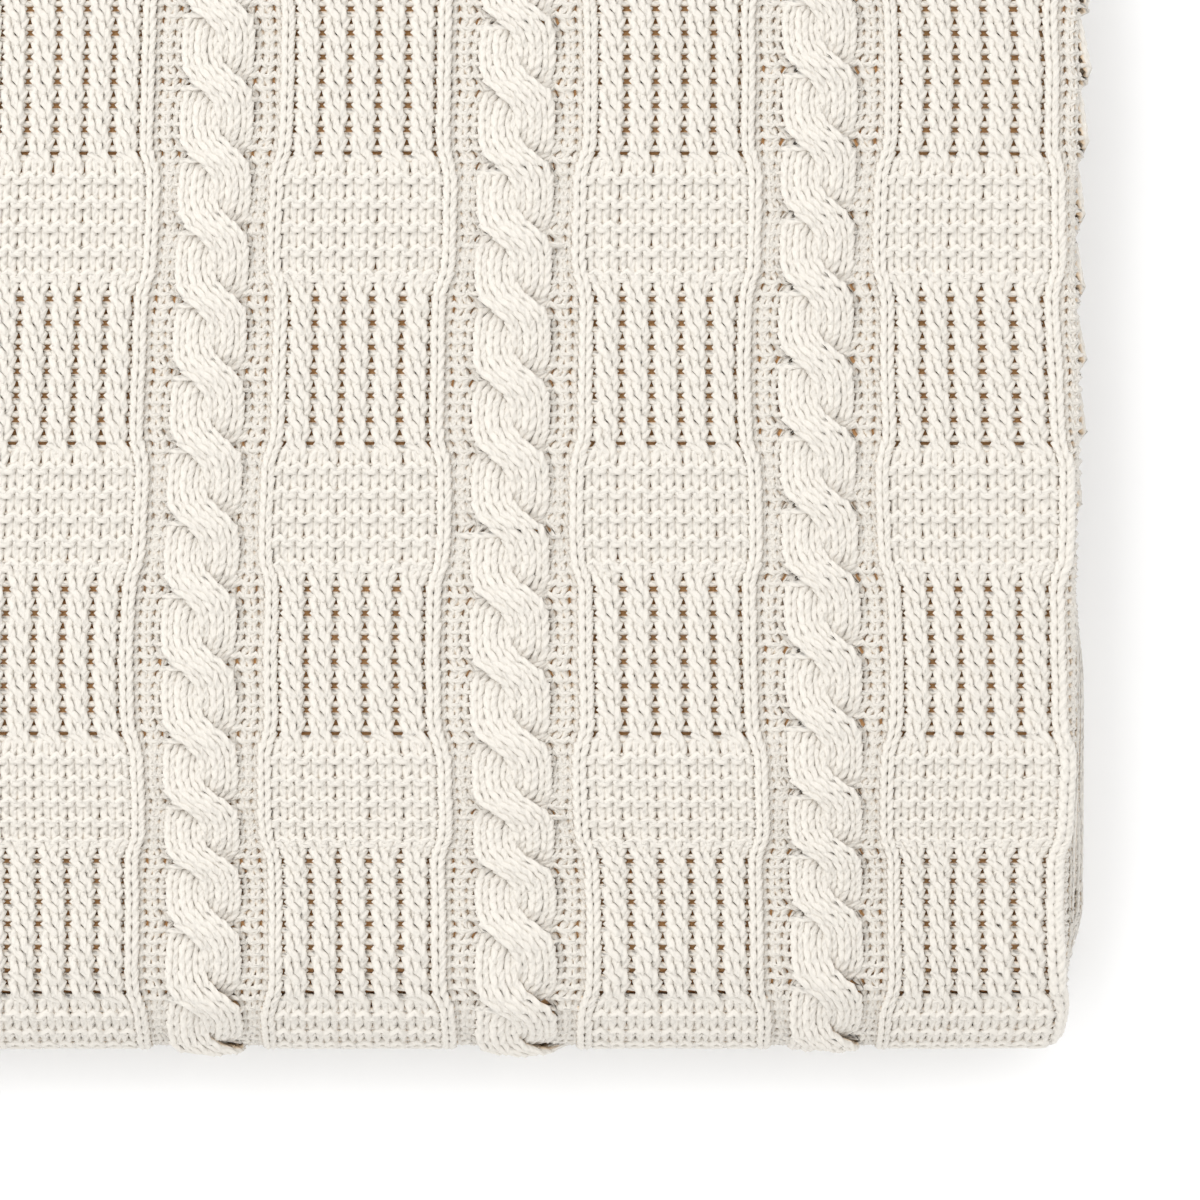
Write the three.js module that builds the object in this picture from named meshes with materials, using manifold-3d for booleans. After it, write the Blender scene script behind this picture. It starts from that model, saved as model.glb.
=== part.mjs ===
// A cable-knit throw, folded for a shelf: once across its width, then twice along its length.
// Millimetres, +Z up, origin at the middle of the face it lies on.
// +X points at the fold across the width, -Y at the last and largest fold.
//
// The cloth is one piece. It is divided here where it folds, so that each flat ply, each turn
// and each end border is a solid of its own, with a small gap to the next.
import * as THREE from "three";
import { mergeVertices } from "three/addons/utils/BufferGeometryUtils.js";
import Module from "manifold-3d";

// Driving sizes, each set by itself.
const THROW_WIDTH = 1270; // selvedge to selvedge, laid flat
const THROW_LENGTH = 1520; // cast-on edge to bound-off edge, laid flat
const PLY = 7.6; // thickness of one ply of the cable knit
const PLY_GAP = 0.4; // between plies that lie on each other
const SEAM_GAP = 0.3; // between solids where the real cloth runs on
const BORDER_LENGTH = 24; // garter border at each end of the throw
const LABEL_WIDTH = 32; // care label, folded in half
const LABEL_DROP = 14; // how far the folded label hangs out of the border
const LABEL_CLOTH = 0.5; // one layer of the label
const LABEL_INSIDE = 0.6; // between the label's two layers
const LABEL_FROM_SELVEDGE = 90;
const STITCH_MARGIN = 3; // from the label's edges to its row of stitches
const STITCH_WIDTH = 1.2;
const STITCH_HEIGHT = 0.5;
const TURN_SEGMENTS = 64; // flat facets in a full turn

// The cloth lies in 4 leaves of 2 plies. Ply 0 is on the floor.
const PLIES = 8;
const LOWER_PLIES = PLIES / 2;
const PITCH = PLY + PLY_GAP;
const HEIGHT = PLIES * PITCH - PLY_GAP;

// Across the width: both halves lie flat up to the fold line, then turn round it.
const SIDE_RADIUS = PITCH - PLY_GAP / 2;
const FLAT_WIDTH = (THROW_WIDTH - (Math.PI * PITCH) / 2) / 2;
const FOLDED_WIDTH = FLAT_WIDTH + SIDE_RADIUS;
const SELVEDGE_X = -FOLDED_WIDTH / 2;
const FOLD_X = SELVEDGE_X + FLAT_WIDTH;

// Along the length: 4 leaves, 2 plies round each of 3 turns. A turn's cloth is measured at mid ply.
const FRONT_RADIUS = HEIGHT / 2;
const BACK_RADIUS = 2 * PITCH - PLY_GAP / 2;
const MEAN_TURNS = 5; // the cloth in the three turns, as half circles of radius PITCH
const LEAF_LENGTH = (THROW_LENGTH - MEAN_TURNS * Math.PI * PITCH) / 4;
const FOLDED_DEPTH = LEAF_LENGTH + FRONT_RADIUS + BACK_RADIUS;
const FRONT_Y = -FOLDED_DEPTH / 2 + FRONT_RADIUS;
const BACK_Y = FRONT_Y + LEAF_LENGTH;
const BORDER_Y = BACK_Y - BORDER_LENGTH;
const FRONT_Z = HEIGHT / 2;
const BACK_Z = 6 * PITCH - PLY_GAP / 2;

const wool = new THREE.MeshStandardMaterial({ color: 0xf2efe8, roughness: 0.95, metalness: 0 });
const garter = new THREE.MeshStandardMaterial({ color: 0xebe7de, roughness: 0.97, metalness: 0 });
const satin = new THREE.MeshStandardMaterial({ color: 0xfafaf8, roughness: 0.45, metalness: 0 });
const thread = new THREE.MeshStandardMaterial({ color: 0xd9d2c4, roughness: 0.7, metalness: 0 });

const wasm = await Module();
wasm.setup();

const group = new THREE.Group();

function add(name, geometry, material) {
  const mesh = new THREE.Mesh(geometry, material);
  mesh.name = name;
  group.add(mesh);
}

// A box between two corners.
function block(low, high) {
  const size = high.map((v, i) => v - low[i]);
  const geometry = new THREE.BoxGeometry(...size);
  return geometry.translate(...low.map((v, i) => v + size[i] / 2));
}

function toSolid(geometry) {
  const bare = new THREE.BufferGeometry();
  bare.setAttribute("position", geometry.getAttribute("position"));
  if (geometry.index) bare.setIndex(geometry.index);
  const merged = mergeVertices(bare, 1e-4);
  return new wasm.Manifold(
    new wasm.Mesh({
      numProp: 3,
      vertProperties: merged.getAttribute("position").array,
      triVerts: new Uint32Array(merged.index.array),
    }),
  );
}

function toGeometry(solid) {
  const mesh = solid.getMesh();
  const geometry = new THREE.BufferGeometry();
  geometry.setAttribute("position", new THREE.BufferAttribute(mesh.vertProperties, 3));
  geometry.setIndex(new THREE.BufferAttribute(mesh.triVerts, 1));
  geometry.computeVertexNormals();
  return geometry;
}

function keepInside(geometry, box) {
  return toGeometry(toSolid(geometry).intersect(toSolid(box)));
}

// A closed profile, of points (distance from the axis, x), turned about an axis along X.
function turned(profile, axisY, axisZ) {
  const closed = [...profile, profile[0]];
  const geometry = new THREE.LatheGeometry(closed, TURN_SEGMENTS);
  return geometry.rotateZ(-Math.PI / 2).translate(0, axisY, axisZ);
}

// The profile of the cloth in ring number ring round a turn, across the whole folded width.
function plyProfile(ring) {
  const inner = ring * PITCH + PLY_GAP / 2;
  const outer = inner + PLY;
  return [
    new THREE.Vector2(inner, SELVEDGE_X),
    new THREE.Vector2(outer, SELVEDGE_X),
    new THREE.Vector2(outer, FOLD_X - SEAM_GAP),
    new THREE.Vector2(inner, FOLD_X - SEAM_GAP),
  ];
}

// The section of the fold that joins two plies: half a ring about (across, along).
function sideFoldShape(across, along) {
  const half = Math.PI / 2;
  const shape = new THREE.Shape();
  shape.absarc(across, along, SIDE_RADIUS, -half, half, false);
  shape.absarc(across, along, PLY_GAP / 2, half, -half, true);
  return shape;
}

// The same section as a profile for turned(), with its open side towards the selvedges.
function sideFoldProfile(radius) {
  const shape = sideFoldShape(FOLD_X, 0);
  const points = shape.getPoints(TURN_SEGMENTS / 4);
  const unique = points.filter((p, i) => i === 0 || p.distanceTo(points[i - 1]) > 1e-6);
  return unique.map((p) => new THREE.Vector2(radius + p.y, p.x)).reverse();
}

// Carries a shape drawn in X and Z along Y.
function alongY(shape, fromY, toY) {
  const geometry = new THREE.ExtrudeGeometry(shape, {
    depth: toY - fromY,
    bevelEnabled: false,
    curveSegments: TURN_SEGMENTS / 2,
  });
  return geometry.rotateX(Math.PI / 2).translate(0, toY, 0);
}

// Boxes that keep one part of a turn.
const FAR = THROW_WIDTH + THROW_LENGTH;
const lowerFront = () => block([-FAR, -FAR, -FAR], [FAR, FRONT_Y, FRONT_Z - SEAM_GAP / 2]);
const upperFront = () => block([-FAR, -FAR, FRONT_Z + SEAM_GAP / 2], [FAR, FRONT_Y, FAR]);
const behindBack = () => block([-FAR, BACK_Y, -FAR], [FAR, FAR, FAR]);

// Flat plies, from the floor up. The lower ones stop at the end borders.
function addPlies() {
  for (let i = 0; i < PLIES; i += 1) {
    const low = [SELVEDGE_X, FRONT_Y + SEAM_GAP, i * PITCH];
    const end = i < LOWER_PLIES ? BORDER_Y : BACK_Y;
    const high = [FOLD_X - SEAM_GAP, end - SEAM_GAP, i * PITCH + PLY];
    add(`ply_${i + 1}`, block(low, high), wool);
  }
}

// The fold across the width, one length for each leaf.
function addSideFolds() {
  for (let leaf = 0; leaf < PLIES / 2; leaf += 1) {
    const middle = (2 * leaf + 1) * PITCH - PLY_GAP / 2;
    const end = 2 * leaf < LOWER_PLIES ? BORDER_Y : BACK_Y;
    const geometry = alongY(sideFoldShape(FOLD_X, middle), FRONT_Y + SEAM_GAP, end - SEAM_GAP);
    add(`side_fold_${leaf + 1}`, geometry, wool);
  }
}

// The last fold: 4 plies rolled round the front, each split where the upper half opens.
function addFrontRolls() {
  for (let ring = 0; ring < LOWER_PLIES; ring += 1) {
    const roll = turned(plyProfile(ring), FRONT_Y, FRONT_Z);
    add(`front_roll_lower_${ring + 1}`, keepInside(roll, lowerFront()), wool);
    add(`front_roll_upper_${ring + 1}`, keepInside(roll, upperFront()), wool);
  }
}

// The second fold: 2 plies turned round the back of the upper half.
function addBackFold() {
  ["inner", "outer"].forEach((place, ring) => {
    const turn = turned(plyProfile(ring), BACK_Y, BACK_Z);
    add(`back_fold_${place}`, keepInside(turn, behindBack()), wool);
  });
}

// Where the side fold goes round the front and the back.
function addCorners() {
  ["inner", "outer"].forEach((place, pair) => {
    const corner = turned(sideFoldProfile((2 * pair + 1) * PITCH), FRONT_Y, FRONT_Z);
    add(`roll_corner_lower_${place}`, keepInside(corner, lowerFront()), wool);
    add(`roll_corner_upper_${place}`, keepInside(corner, upperFront()), wool);
  });
  const back = turned(sideFoldProfile(PITCH), BACK_Y, BACK_Z);
  add("back_corner", keepInside(back, behindBack()), wool);
}

// An end border: two plies and the fold that joins them, in one piece.
function borderShape(floor) {
  const middle = floor + PITCH - PLY_GAP / 2;
  const top = floor + PITCH + PLY;
  const half = Math.PI / 2;
  const shape = new THREE.Shape();
  shape.moveTo(SELVEDGE_X, floor);
  shape.lineTo(FOLD_X, floor);
  shape.absarc(FOLD_X, middle, SIDE_RADIUS, -half, half, false);
  shape.lineTo(SELVEDGE_X, top);
  shape.lineTo(SELVEDGE_X, middle + PLY_GAP / 2);
  shape.lineTo(FOLD_X, middle + PLY_GAP / 2);
  shape.absarc(FOLD_X, middle, PLY_GAP / 2, half, -half, true);
  shape.lineTo(SELVEDGE_X, middle - PLY_GAP / 2);
  return shape;
}

function addBorders() {
  add("cast_on_border", alongY(borderShape(0), BORDER_Y, BACK_Y), garter);
  add("bound_off_border", alongY(borderShape(2 * PITCH), BORDER_Y, BACK_Y), garter);
}

// A blank care label, folded in half, out of the end of ply 2, and the stitches across it.
function addLabel() {
  const outside = LABEL_CLOTH + LABEL_INSIDE / 2;
  const middle = PITCH + PLY / 2;
  const end = BACK_Y + LABEL_DROP - outside;
  const half = Math.PI / 2;
  const shape = new THREE.Shape();
  shape.moveTo(BACK_Y + SEAM_GAP, middle - outside);
  shape.absarc(end, middle, outside, -half, half, false);
  shape.lineTo(BACK_Y + SEAM_GAP, middle + outside);
  shape.lineTo(BACK_Y + SEAM_GAP, middle + LABEL_INSIDE / 2);
  shape.absarc(end, middle, LABEL_INSIDE / 2, half, -half, true);
  shape.lineTo(BACK_Y + SEAM_GAP, middle - LABEL_INSIDE / 2);
  const label = new THREE.ExtrudeGeometry(shape, {
    depth: LABEL_WIDTH,
    bevelEnabled: false,
    curveSegments: TURN_SEGMENTS / 4,
  });
  // Y, Z and the extruded depth become Y, Z and X.
  label.rotateX(Math.PI / 2).rotateZ(Math.PI / 2);
  const left = SELVEDGE_X + LABEL_FROM_SELVEDGE;
  add("care_label", label.translate(left, 0, 0), satin);
  const low = [left + STITCH_MARGIN, BACK_Y + STITCH_MARGIN, middle + outside + SEAM_GAP];
  const high = [left + LABEL_WIDTH - STITCH_MARGIN, low[1] + STITCH_WIDTH, low[2] + STITCH_HEIGHT];
  add("label_stitching", block(low, high), thread);
}

addPlies();
addSideFolds();
addFrontRolls();
addBackFold();
addCorners();
addBorders();
addLabel();

export default group;
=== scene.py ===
# %% [markdown]
# # A folded cable-knit throw
# The real throw is one long knitted cloth. It is folded once across its width, then twice along
# its length, so that eight plies lie on each other and the last fold makes a full roll in front.
# We build it the way it is made: first the route that the cloth takes through the folds, then the
# stitch pattern, then the yarn itself, row by row, carried along that route.
#
# The imported model gives every size that matters here. We keep its box and print it.

import math
import zlib

import bpy
import numpy as np
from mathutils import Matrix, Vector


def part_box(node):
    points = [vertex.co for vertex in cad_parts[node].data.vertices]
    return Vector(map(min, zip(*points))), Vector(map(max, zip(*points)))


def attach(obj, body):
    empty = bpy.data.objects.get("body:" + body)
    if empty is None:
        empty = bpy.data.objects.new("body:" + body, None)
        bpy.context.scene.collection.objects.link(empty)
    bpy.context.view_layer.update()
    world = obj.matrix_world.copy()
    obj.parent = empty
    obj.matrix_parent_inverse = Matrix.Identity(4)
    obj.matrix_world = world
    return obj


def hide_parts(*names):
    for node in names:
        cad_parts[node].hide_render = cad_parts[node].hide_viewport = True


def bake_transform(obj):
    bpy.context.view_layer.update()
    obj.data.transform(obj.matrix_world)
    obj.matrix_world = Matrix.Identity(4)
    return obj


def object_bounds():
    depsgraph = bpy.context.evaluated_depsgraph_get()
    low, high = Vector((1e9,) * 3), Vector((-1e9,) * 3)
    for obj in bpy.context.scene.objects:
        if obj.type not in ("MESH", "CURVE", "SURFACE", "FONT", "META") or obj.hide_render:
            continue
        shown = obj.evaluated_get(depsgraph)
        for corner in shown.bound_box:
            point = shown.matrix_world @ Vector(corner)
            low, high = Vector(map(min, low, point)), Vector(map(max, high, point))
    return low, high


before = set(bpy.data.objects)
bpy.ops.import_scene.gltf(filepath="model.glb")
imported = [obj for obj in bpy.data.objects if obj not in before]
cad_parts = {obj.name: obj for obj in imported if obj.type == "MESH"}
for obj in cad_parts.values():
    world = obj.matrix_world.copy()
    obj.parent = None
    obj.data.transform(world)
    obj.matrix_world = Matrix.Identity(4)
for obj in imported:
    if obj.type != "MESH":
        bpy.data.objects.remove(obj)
cad_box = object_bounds()
MM = 0.001
PI = math.pi


def corner_mm(node, which):
    """The lowest (0) or highest (1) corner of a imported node, in millimetres."""
    return np.array(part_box(node)[which]) / MM


low, high = (np.array(c) / MM for c in cad_box)
print("packed box in mm:", low.round(1), high.round(1))

# %% [markdown]
# ## The route of the cloth
# Seen from the side, one leaf of two plies (A outside, B inside) runs from the cast-on end forward
# along the floor, up round the front, back over the top, down round the back fold, forward again
# inside, round the inner turn and back to the bound-off end.
# A route is a curve in Y and Z. We give it as seven joined stretches for each ply, so that a
# point of A always has its partner on B.

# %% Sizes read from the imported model
PLY = corner_mm("ply_1", 1)[2] - corner_mm("ply_1", 0)[2]
PITCH = corner_mm("ply_2", 0)[2] - corner_mm("ply_1", 0)[2]
HEIGHT = high[2]
SELVEDGE_X = low[0]
FOLD_X = corner_mm("side_fold_4", 0)[0]
SKIN_Y = low[1]
BACK_Y = corner_mm("back_fold_outer", 0)[1]
HALF_GAP = PITCH / 2
MID_Z = HEIGHT / 2
print("ply", PLY.round(2), "pitch", PITCH.round(2), "fold line at x =", FOLD_X.round(1))

# %% The route as a table
ROLL_REACH = 40.0  # how far behind the front skin the top starts to fall away
TONGUE_TIP = 20.0  # how far behind the front skin the inner turn reaches
STEP = 0.5  # distance between points of the route
ROLL_Y = SKIN_Y + PLY / 2 + ROLL_REACH


def straight(y0, y1, z):
    """A level stretch from y0 to y1 at height z."""
    y = np.linspace(y0, y1, 400)
    return np.stack([y, np.full_like(y, z)], 1)


def elliptic(centre, reach, rise, a0, a1):
    """Part of an ellipse: y = centre - reach cos a, z = centre + rise sin a, from a0 to a1."""
    a = np.linspace(a0, a1, 240)
    return np.stack([centre[0] - reach * np.cos(a), centre[1] + rise * np.sin(a)], 1)


def ply_middle(ply):
    """Mid height of ply number ply, counted from 0 on the floor."""
    return ply * PITCH + PLY / 2


def stretches():
    """The pairs (A, B) of point lists, from the cast-on end to the bound-off end."""
    front = (ROLL_Y, MID_Z)
    back = (BACK_Y, 6 * PITCH - (PITCH - PLY) / 2)
    tongue = ROLL_Y - SKIN_Y - TONGUE_TIP
    q = PI / 2
    a_mid, b_mid = [ply_middle(k) for k in (0, 7, 4, 3)], [ply_middle(k) for k in (1, 6, 5, 2)]
    yield straight(BACK_Y, ROLL_Y, a_mid[0]), straight(BACK_Y, ROLL_Y, b_mid[0])
    yield (elliptic(front, ROLL_REACH, 3.5 * PITCH, -q, q),
           elliptic(front, ROLL_REACH - PITCH, 2.5 * PITCH, -q, q))
    yield straight(ROLL_Y, BACK_Y, a_mid[1]), straight(ROLL_Y, BACK_Y, b_mid[1])
    yield (elliptic(back, -1.5 * PITCH, 1.5 * PITCH, q, -q),
           elliptic(back, -0.5 * PITCH, 0.5 * PITCH, q, -q))
    yield straight(BACK_Y, ROLL_Y, a_mid[2]), straight(BACK_Y, ROLL_Y, b_mid[2])
    yield (elliptic(front, tongue, 0.5 * PITCH, q, -q),
           elliptic(front, tongue + HALF_GAP, 1.5 * PITCH, q, -q))
    yield straight(ROLL_Y, BACK_Y, a_mid[3]), straight(ROLL_Y, BACK_Y, b_mid[3])


def route_table():
    """Joins the stretches. Row k of the table is the point of A and of B at k * STEP along A."""
    ends, a_all, b_all, length = [0.0], [], [], 0.0
    for a, b in stretches():
        run = np.concatenate([[0], np.cumsum(np.hypot(*np.diff(a, axis=0).T))])
        count = max(int(round(run[-1] / STEP)), 1)
        at = np.linspace(0, run[-1], count, endpoint=False)
        a_all.append(np.stack([np.interp(at, run, a[:, i]) for i in (0, 1)], 1))
        b_all.append(np.stack([np.interp(at, run, b[:, i]) for i in (0, 1)], 1))
        length += run[-1]
        ends.append(length)
    a_all.append(a[-1:])
    b_all.append(b[-1:])
    return np.array(ends), np.concatenate(a_all), np.concatenate(b_all)


ENDS, ROUTE_A, ROUTE_B = route_table()
ROUTE_V = np.linspace(0, ENDS[-1], len(ROUTE_A))
print("route ends at", ENDS.round(0), "mm; the cloth is", ENDS[-1].round(0), "mm long")

# %% [markdown]
# ## From flat cloth to folded cloth
# Every stitch is first laid out on flat cloth: c across (0 where the side fold begins, minus
# towards the selvedge of A, plus round the fold and on to B), v along the route, and h, the height
# above the middle of the cloth on its right side. One function then folds it. The yarn, the
# backing and the edges all use it, so they can't drift apart.

# %% The fold map
TURN = PI * HALF_GAP  # cloth used by the side fold


def rows_at(v):
    """A's point, half the step from B to A, and their normal, at each v."""
    pa = np.stack([np.interp(v, ROUTE_V, ROUTE_A[:, i]) for i in (0, 1)], -1)
    pb = np.stack([np.interp(v, ROUTE_V, ROUTE_B[:, i]) for i in (0, 1)], -1)
    half = (pa - pb) / 2
    length = np.linalg.norm(half, axis=-1)
    pa[..., 0] += np.maximum(-v, 0) + np.maximum(v - ENDS[-1], 0)
    return pa, half, length


def smooth(x, low_edge, high_edge):
    """A soft step from 0 at low_edge to 1 at high_edge."""
    t = np.clip((x - low_edge) / (high_edge - low_edge), 0, 1)
    return t * t * (3 - 2 * t)


FALL_AT_FOLD, FALL_AT_SELVEDGE = 3.0, 2.0  # how much lower the top lies at its sides, in mm
DRAWN_IN, PEEK_OUT, CORNER_IN = -4.5, 6.0, -6.5  # how the fold side moves sideways, in mm
CORNER_LENGTH = 34.0  # how far from the front skin the corner is drawn in


def settle(x, y, z):
    """Small unevenness of a stack folded by hand, in mm: long waves in height that grow upwards, a
    fall towards both sides, a top leaf drawn in a little at the front corner and lower leaves
    that show beside it. It depends on place only, so neighbouring plies move together."""
    up = np.clip(z / HEIGHT, 0, 1)
    wave = 0.9 * np.sin(x / 61 + 0.8) * np.sin(y / 47 + 0.4) + 0.7 * np.sin(x / 23 + y / 39 + 2.1)
    fall = FALL_AT_FOLD * smooth(x, FOLD_X - 45, FOLD_X + 8)
    fall = fall + FALL_AT_SELVEDGE * smooth(-x, -SELVEDGE_X - 40, -SELVEDGE_X)
    near = smooth(x, FOLD_X - 90, FOLD_X)
    peek = smooth(y, -175, -150) * smooth(-y, 25, 80)
    corner = np.clip((SKIN_Y + CORNER_LENGTH - y) / CORNER_LENGTH, 0, 1.1) ** 2
    draw = DRAWN_IN * up ** 2 * smooth(-y, 20, 140) + PEEK_OUT * (1 - up) * peek + CORNER_IN * corner
    draw = near * draw
    draw = draw + near * 0.8 * np.sin(y / 17 + 1.0) * up
    return np.stack([draw, np.zeros_like(draw), up * (wave - fall)], -1)


def loft(c, v):
    """How far the relief may stand up: fully on the top and the roll, half where plies press on each
    other or lie on the floor."""
    along = smooth(v, ENDS[1] + 8, ENDS[2] - 8) * (1 - smooth(v, ENDS[3] + 4, ENDS[4] - 2))
    return 0.5 + 0.5 * along * (1 - smooth(c, TURN * 0.6, TURN * 1.6))


def fold(c, v, h):
    """Places cloth points (c, v, h) in mm. Across, A lies flat to c = 0, turns a half circle about the
    middle of the leaf, then lies flat as B. Along, the middle of A follows the route; h is added
    away from B."""
    c, v, h = (np.array(a) for a in np.broadcast_arrays(np.asarray(c, float), v, h))
    pa, half, length = rows_at(v)
    turn = np.clip(c / TURN, 0, 1) * PI
    over = np.where(c < 0, c, np.where(c > TURN, TURN - c, 0.0))
    grow = 1 + h * loft(c, v) / length
    x = FOLD_X + over + np.sin(turn) * length * grow
    yz = pa - half + half * (np.cos(turn) * grow)[..., None]
    placed = np.stack([x, yz[..., 0], yz[..., 1]], -1)
    return placed + settle(*np.moveaxis(placed, -1, 0))


print("the top of A is at", fold(-200.0, (ENDS[2] + ENDS[3]) / 2, 0.0).round(1))

# %% [markdown]
# ## The stitch pattern
# The pattern repeats every 22 stitches: a six-stitch rope cable, two purl stitches on each side of
# it, one raised knit stitch, and a ten-stitch basket panel. The panel changes every few rows
# between small twists of two stitches and garter ridges. A column of stitches is called a wale.
# The table below says for each wale where it lies and what it does.

# %% Gauge
ROW = 3.84  # height of one row
REPEAT = 98.0  # width of the 22-stitch repeat
ROWS_PER_BLOCK = (14, 10)  # twisted rows, then garter rows
BLOCK = sum(ROWS_PER_BLOCK)
PURL_W, KNIT_W, ROPE_W, BASKET_W = 3.55, 4.3, 4.2, 4.92
CABLE_C = -74.5  # the middle of the cable nearest the side fold
BLOCK_START_Y = -96.2  # on the top, a block's twisted rows begin here and run towards the back
TOP_V = ENDS[2]  # where the top's flat stretch begins
V_START, FIRST_ROW = math.modf((BLOCK_START_Y - ROLL_Y + TOP_V) / ROW)
V_START *= ROW  # so that a block begins on a whole row
PHASE = FIRST_ROW % BLOCK
print("rows in the throw:", round(ENDS[-1] / ROW), " block phase:", PHASE)

# %% The wales of one repeat
PURL, KNIT, ROPE, TWIST = range(4)


def repeat_wales():
    """One repeat as rows of (kind, middle in c from the cable's middle, width, lane, side). The lane
    is the place in a rope's strand or, for a purl wale, how far it is from the rope to the next
    knit wale. The side is that of the crossing or, for a purl wale, of the rope it belongs to."""
    wales = [(ROPE, 0.0, ROPE_W, i % 3 - 1, -1 if i < 3 else 1) for i in range(6)]
    gutter = 3 * ROPE_W + 2 * PURL_W
    wales += [(PURL, 0.0, PURL_W, lane, 1) for lane in (0.30, 0.78)]
    wales.append((KNIT, gutter + KNIT_W / 2, KNIT_W, 0, -1))
    for k in range(10):
        place = gutter + KNIT_W + (k // 2 * 2 + 1) * BASKET_W
        wales.append((TWIST, place, BASKET_W, k // 2 - 2, -1 if k % 2 == 0 else 1))
    edge = gutter + KNIT_W + 10 * BASKET_W
    wales.append((KNIT, edge + KNIT_W / 2, KNIT_W, 0, 1))
    natural = edge + KNIT_W + gutter
    wales += [(PURL, natural, PURL_W, lane, -1) for lane in (0.78, 0.30)]
    return np.array(wales, float), natural


WALES, NATURAL = repeat_wales()
FIT = REPEAT / NATURAL
GUTTER = (3 * ROPE_W + 2 * PURL_W) * FIT  # from a rope's middle to the next knit wale
print(len(WALES), "wales to a repeat of", round(NATURAL, 1), "mm, set to", REPEAT)

# %% Where a wale runs
ROPE_SWING, ROPE_FRONT, ROPE_BACK, ROPE_ROWS = 6.0, 2.8, 1.6, 6
STRAND_W, STRAND_FAN = 4.05, 0.42
TWIST_SWING, TWIST_LIFT, TWIST_ROWS = 1.75, 1.0, 2
ROPE_LATE = np.array([0.0, 1.3, -0.5, 0.0, 0.6, -0.8, 0.3])  # how many rows late each cable turns
WIDEN = 1.4  # how much further out the panel's edges lie in the garter rows
RIDGE_LIFT, RIDGE_PULL = 1.3, 0.25  # how garter ridges come forward, and draw together in rows


def rise(x):
    """A soft step from 0 to 1 over about two rows."""
    return 1 / (1 + np.exp(-2.2 * x))


def in_block(row):
    """Which block a row is in, and its place there: twisted rows come first, then garter."""
    at = np.asarray(row, float) - PHASE
    block = np.floor(at / BLOCK)
    return block, at - block * BLOCK


def garter_share(row):
    """1 in garter rows and 0 in twisted rows, with soft changes."""
    _, r = in_block(row)
    return rise(r - ROWS_PER_BLOCK[0]) - rise(r - BLOCK) + 1 - rise(r)


def crossing_angles(row, place):
    """The angles of the rope and of the small twists: half a turn for each crossing. The small
    twists rest through the garter rows. place is the middle of the wale's rope."""
    which = np.clip(np.round((CABLE_C - place) / REPEAT).astype(int) + 1, 0, 6)
    rope = PI * (row - 1.5 - ROPE_LATE[which]) / ROPE_ROWS
    block, r = in_block(row)
    turns = block * ROWS_PER_BLOCK[0] + np.clip(r + 0.5, 0, ROWS_PER_BLOCK[0])
    return rope - 0.2 * np.sin(2 * rope), PI * turns / TWIST_ROWS


def wale_path(wale, centre, row):
    """Across, height and stitch width (c, h, w) of a wale at each row. The two strands of a crossing
    swing as a cosine and rise as a sine of the same angle, opposite to each other, so that one
    passes over the other. The purl wales fill what the rope leaves free."""
    kind, place, width, lane, side = np.moveaxis(wale, -1, 0)
    garter = garter_share(row)
    a_rope, a_twist = crossing_angles(row, centre + place * FIT * (kind == PURL))
    rope, twist, purl, knit = (kind == k for k in (ROPE, TWIST, PURL, KNIT))
    spread = WIDEN * (2 * garter - 1)
    over, small = side * np.sin(a_rope), np.sin(a_twist) * (1 - garter)
    swing = ROPE_SWING * np.sign(np.cos(a_rope)) * np.abs(np.cos(a_rope)) ** 0.85
    fan = 1 + STRAND_FAN * np.sin(a_rope) ** 2
    half = 1.5 * STRAND_W * fan + np.abs(swing) + 0.2 - 1.6 * np.sin(a_rope) ** 2
    free = GUTTER - spread - half
    pair = TWIST_SWING + (BASKET_W * FIT / 2 - TWIST_SWING) * garter
    c = centre + place * FIT
    c = c + rope * (side * swing + lane * STRAND_W * fan)
    c = c + twist * (side * pair * np.cos(a_twist) + lane / 2.5 * spread)
    c = c + purl * side * (half + lane * free) + knit * side * spread
    h = rope * (1.2 + np.where(over > 0, ROPE_FRONT, ROPE_BACK) * over - 0.8 * lane ** 2)
    h = h + twist * side * TWIST_LIFT * small + knit * (0.6 - 2.4 * lane) - purl * 1.15
    w = np.where(rope, STRAND_W * fan, np.where(purl, 0.54 * free, width * FIT))
    w = w * (1 + twist * (1 - garter) * (0.46 * small ** 2 - 0.08) + 0.05 * twist * garter)
    return c, h, w


def yarn_order(wales, centres, row):
    """The order in which the yarn of each row visits the wales: left to right as they then lie."""
    kind = wales[:, 0]
    a_rope, a_twist = crossing_angles(row[:, None], centres + wales[:, 1] * FIT * (kind == PURL))
    key = wale_path(wales[None], centres, row[:, None])[0]
    key = key + (kind == ROPE) * wales[:, 4] * 5 * (np.sign(np.cos(a_rope)) - np.cos(a_rope))
    key = key + (kind == TWIST) * wales[:, 4] * 2 * (np.sign(np.cos(a_twist)) - np.cos(a_twist))
    return np.argsort(key, axis=1)


def face_sign(kind, row):
    """1 for a knit stitch and -1 for a purl stitch, as seen on the right side."""
    _, r = in_block(row + 0.01)
    ridge = (r >= ROWS_PER_BLOCK[0]) & (np.floor(r) % 2 == 1)
    return np.where((kind == PURL) | ((kind == TWIST) & ridge), -1.0, 1.0)


def unevenness(seed, *shape):
    """Whole-array noise from -1 to 1, the same on every run."""
    return np.random.default_rng(seed).uniform(-1, 1, shape)


probe = np.arange(0, 2 * ROPE_ROWS, 0.25)[:, None]
probe_c, probe_h, _ = wale_path(WALES[1:2], np.array([CABLE_C]), probe)
print("a rope wale swings over", np.ptp(probe_c).round(1), "mm and rises", np.ptp(probe_h).round(1), "mm")

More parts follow.
